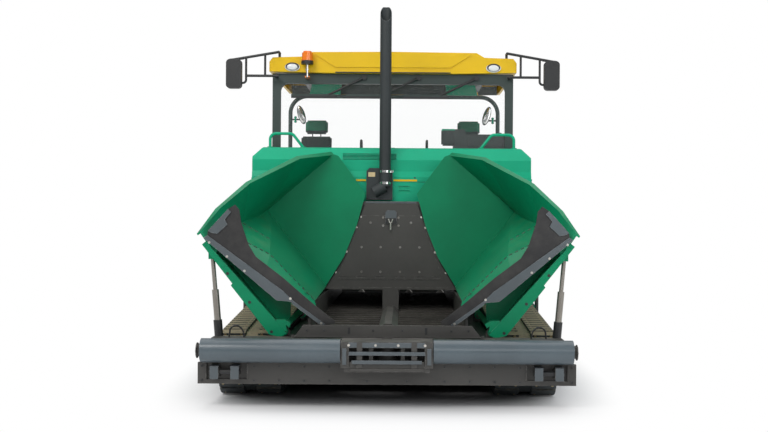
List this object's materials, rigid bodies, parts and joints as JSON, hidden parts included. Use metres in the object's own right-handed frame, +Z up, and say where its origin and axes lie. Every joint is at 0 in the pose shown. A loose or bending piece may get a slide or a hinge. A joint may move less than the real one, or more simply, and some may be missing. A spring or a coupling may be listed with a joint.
{
  "type": "asphalt paver",
  "caption": "Tracked asphalt paver with folding hopper wings, push rollers, a tall exhaust, a yellow hard roof and an extending screed",
  "frame": {"origin": "on the ground, midway between the front of the push rollers and the back of the screed walkway, in the machine's middle plane", "axes": "+Z up; +Y towards the screed, so the machine drives towards -Y; +X to the machine's left-hand side"},
  "size_m": [3.574, 6.9, 3.666],
  "materials": {
    "green_paint": "semi_gloss",
    "dark_grey_paint": "satin",
    "black_paint": "satin",
    "roller_paint": "satin",
    "exhaust_paint": "matte",
    "yellow_shell": "semi_gloss",
    "flap_rubber": "matte",
    "track_rubber": "matte",
    "clamp_steel": "satin",
    "worn_steel": "satin",
    "chrome_rod": "polished",
    "cast_engine": "matte",
    "seat_cover": "matte",
    "clear_glass": "gloss",
    "lamp_glass": "gloss",
    "amber_lens": "gloss"
  },
  "bodies": {
    "chassis": {"chassis_frame": "dark_grey_paint", "track_left": "track_rubber", "track_right": "track_rubber", "track_frames": "dark_grey_paint", "conveyors": "worn_steel", "push_beam": "dark_grey_paint", "cross_member": "dark_grey_paint", "hopper_rear_wall": "dark_grey_paint", "engine_block": "cast_engine", "engine_hood": "green_paint", "exhaust_stack": "exhaust_paint", "side_lockers": "green_paint", "operator_platform": "dark_grey_paint", "operator_seats": "seat_cover", "control_console": "dark_grey_paint", "roof_frame": "dark_grey_paint", "windscreen": "clear_glass", "roof_shell": "yellow_shell", "roof_lamps": "lamp_glass", "beacon": "amber_lens", "side_mirrors": "black_paint", "handrails": "green_paint", "auger_frame": "dark_grey_paint"},
    "carrier": {"roller_carrier": "dark_grey_paint"},
    "apron": {"front_apron": "dark_grey_paint"},
    "lid": {"engine_lid": "green_paint"},
    "screed": {"tow_arms": "green_paint", "screed_main": "worn_steel"},
    "lift_barrels": {"lift_cylinders": "black_paint"},
    "lift_pistons": {"lift_rods": "chrome_rod"},
    "wing_left": {"hopper_wing_left": "green_paint", "front_flap_left": "flap_rubber", "flap_clamp_left": "clamp_steel"},
    "wing_barrel_left": {"wing_cylinder_left": "black_paint"},
    "wing_stage_left": {"wing_cylinder_stage_left": "chrome_rod"},
    "wing_piston_left": {"wing_cylinder_rod_left": "chrome_rod"},
    "push_roller_left": {"push_roller_left": "roller_paint"},
    "service_door_left": {"service_door_left": "green_paint"},
    "auger_left": {"auger_left": "worn_steel"},
    "extension_left": {"screed_extension_left": "dark_grey_paint"},
    "wing_right": {"hopper_wing_right": "green_paint", "front_flap_right": "flap_rubber", "flap_clamp_right": "clamp_steel"},
    "wing_barrel_right": {"wing_cylinder_right": "black_paint"},
    "wing_stage_right": {"wing_cylinder_stage_right": "chrome_rod"},
    "wing_piston_right": {"wing_cylinder_rod_right": "chrome_rod"},
    "push_roller_right": {"push_roller_right": "roller_paint"},
    "service_door_right": {"service_door_right": "green_paint"},
    "auger_right": {"auger_right": "worn_steel"},
    "extension_right": {"screed_extension_right": "dark_grey_paint"}
  },
  "joints": [
    {"name": "wing_fold_left", "type": "hinge", "parent": "chassis", "child": "wing_left", "pos_m": [0.87, -3, 0.575], "axis": [0, 1, 0], "range_deg": [0, 32]},
    {"name": "wing_barrel_swing_left", "type": "hinge", "parent": "chassis", "child": "wing_barrel_left", "pos_m": [1.395, -2.905, 0.33], "axis": [0, 1, 0], "range_deg": [0, 30]},
    {"name": "wing_stage_slide_left", "type": "slide", "parent": "wing_barrel_left", "child": "wing_stage_left", "axis": [-0.0859, 0, -0.9963], "range_m": [0, 0.16]},
    {"name": "wing_piston_slide_left", "type": "slide", "parent": "wing_barrel_left", "child": "wing_piston_left", "axis": [-0.0859, 0, -0.9963], "range_m": [0, 0.319]},
    {"name": "wing_fold_right", "type": "hinge", "parent": "chassis", "child": "wing_right", "pos_m": [-0.87, -3, 0.575], "axis": [0, -1, 0], "range_deg": [0, 32]},
    {"name": "wing_barrel_swing_right", "type": "hinge", "parent": "chassis", "child": "wing_barrel_right", "pos_m": [-1.395, -2.905, 0.33], "axis": [0, -1, 0], "range_deg": [0, 30]},
    {"name": "wing_stage_slide_right", "type": "slide", "parent": "wing_barrel_right", "child": "wing_stage_right", "axis": [0.0859, 0, -0.9963], "range_m": [0, 0.16]},
    {"name": "wing_piston_slide_right", "type": "slide", "parent": "wing_barrel_right", "child": "wing_piston_right", "axis": [0.0859, 0, -0.9963], "range_m": [0, 0.319]},
    {"name": "apron_fold", "type": "hinge", "parent": "chassis", "child": "apron", "pos_m": [0, -3.098, 0.553], "axis": [-1, 0, 0], "range_deg": [0, 45]},
    {"name": "carrier_swing", "type": "hinge", "parent": "chassis", "child": "carrier", "pos_m": [0, -3.218, 0.45], "axis": [0, 0, 1], "range_deg": [-3, 3]},
    {"name": "push_roller_spin_left", "type": "hinge", "parent": "carrier", "child": "push_roller_left", "pos_m": [0.92, -3.355, 0.468], "axis": [1, 0, 0], "continuous": true},
    {"name": "push_roller_spin_right", "type": "hinge", "parent": "carrier", "child": "push_roller_right", "pos_m": [-0.92, -3.355, 0.468], "axis": [1, 0, 0], "continuous": true},
    {"name": "engine_lid_hinge", "type": "hinge", "parent": "chassis", "child": "lid", "pos_m": [0, -0.469, 2.259], "axis": [-1, 0, 0], "range_deg": [0, 60]},
    {"name": "service_door_hinge_left", "type": "hinge", "parent": "chassis", "child": "service_door_left", "pos_m": [1.429, -0.976, 1.6], "axis": [0, 0, -1], "range_deg": [0, 100]},
    {"name": "auger_spin_left", "type": "hinge", "parent": "chassis", "child": "auger_left", "pos_m": [0.69, 1.82, 0.42], "axis": [1, 0, 0], "continuous": true},
    {"name": "service_door_hinge_right", "type": "hinge", "parent": "chassis", "child": "service_door_right", "pos_m": [-1.429, -0.976, 1.6], "axis": [0, 0, 1], "range_deg": [0, 100]},
    {"name": "auger_spin_right", "type": "hinge", "parent": "chassis", "child": "auger_right", "pos_m": [-0.69, 1.82, 0.42], "axis": [1, 0, 0], "continuous": true},
    {"name": "screed_lift", "type": "hinge", "parent": "chassis", "child": "screed", "pos_m": [0, -0.8, 0.56], "axis": [1, 0, 0], "range_deg": [0, 8]},
    {"name": "extension_slide_left", "type": "slide", "parent": "screed", "child": "extension_left", "axis": [1, 0, 0], "range_m": [0, 1]},
    {"name": "extension_slide_right", "type": "slide", "parent": "screed", "child": "extension_right", "axis": [-1, 0, 0], "range_m": [0, 1]},
    {"name": "lift_barrel_swing", "type": "hinge", "parent": "chassis", "child": "lift_barrels", "pos_m": [0, 1.56, 1.23], "axis": [1, 0, 0], "range_deg": [0, 22.1]},
    {"name": "lift_piston_slide", "type": "slide", "parent": "lift_barrels", "child": "lift_pistons", "axis": [0, -0.7817, 0.6236], "range_m": [0, 0.238]}
  ],
  "couplings": [
    {"joint": "wing_barrel_swing_left", "follows": "wing_fold_left", "ratio": 0.9265},
    {"joint": "wing_stage_slide_left", "follows": "wing_fold_left", "m_per_rad": 0.2848},
    {"joint": "wing_piston_slide_left", "follows": "wing_fold_left", "m_per_rad": 0.5696},
    {"joint": "wing_barrel_swing_right", "follows": "wing_fold_right", "ratio": 0.9265},
    {"joint": "wing_stage_slide_right", "follows": "wing_fold_right", "m_per_rad": 0.2848},
    {"joint": "wing_piston_slide_right", "follows": "wing_fold_right", "m_per_rad": 0.5696},
    {"joint": "lift_barrel_swing", "follows": "screed_lift", "ratio": 2.7496},
    {"joint": "lift_piston_slide", "follows": "screed_lift", "m_per_rad": 1.6979}
  ]
}
